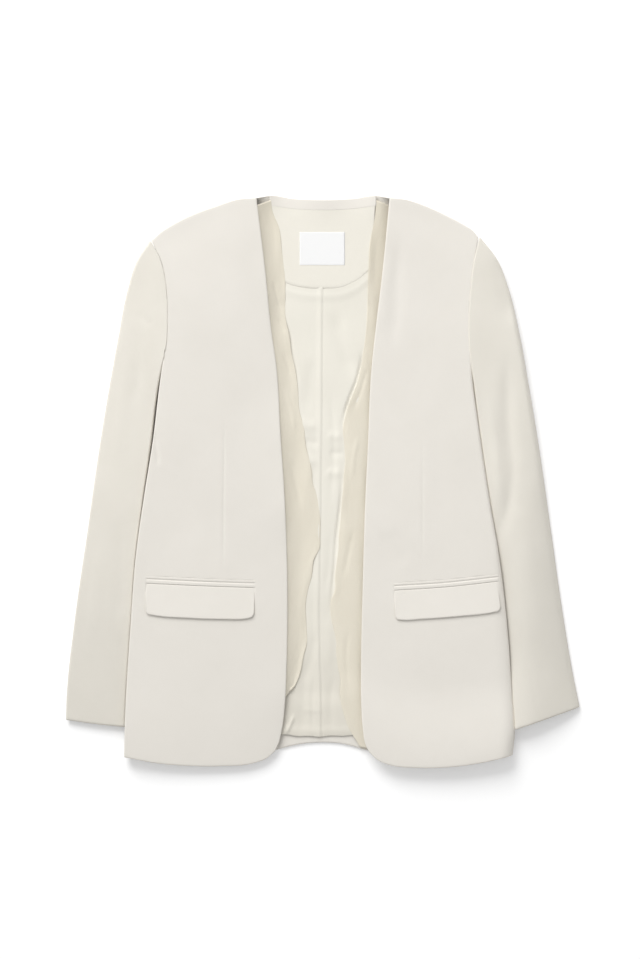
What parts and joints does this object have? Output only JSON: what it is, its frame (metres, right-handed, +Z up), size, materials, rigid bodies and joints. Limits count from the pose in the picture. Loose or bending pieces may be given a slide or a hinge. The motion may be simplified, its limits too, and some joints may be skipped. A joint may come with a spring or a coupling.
{
  "type": "open-front blazer laid flat",
  "caption": "Collarless long-sleeved blazer laid flat on its back, fronts parted over facings and back lining, with welted flap pockets.",
  "frame": {"origin": "middle of the outline as it lies, on the surface below it", "axes": "+Y from the hem to the neck, +X to the wearer's left, +Z up from the surface to the fronts"},
  "size_m": [0.6678, 0.7447, 0.0277],
  "materials": {
    "shell": "matt off-white suiting, fine plain weave",
    "facing": "matt cream self-cloth, a little warmer than the outside",
    "lining": "ivory satin with a soft sheen",
    "label": "white woven tape, bare"
  },
  "bodies": {
    "root": {"front_right": "shell", "back_right": "shell", "hem_right": "shell", "top_sleeve_right": "shell", "under_sleeve_right": "shell", "facing_right": "facing", "lining_right": "lining", "pocket_welt_right": "shell", "pocket_flap_right": "shell", "front_left": "shell", "back_left": "shell", "hem_left": "shell", "top_sleeve_left": "shell", "under_sleeve_left": "shell", "facing_left": "facing", "lining_left": "lining", "pocket_welt_left": "shell", "pocket_flap_left": "shell", "neck_facing": "facing", "neck_band": "shell", "label": "label"}
  },
  "joints": []
}
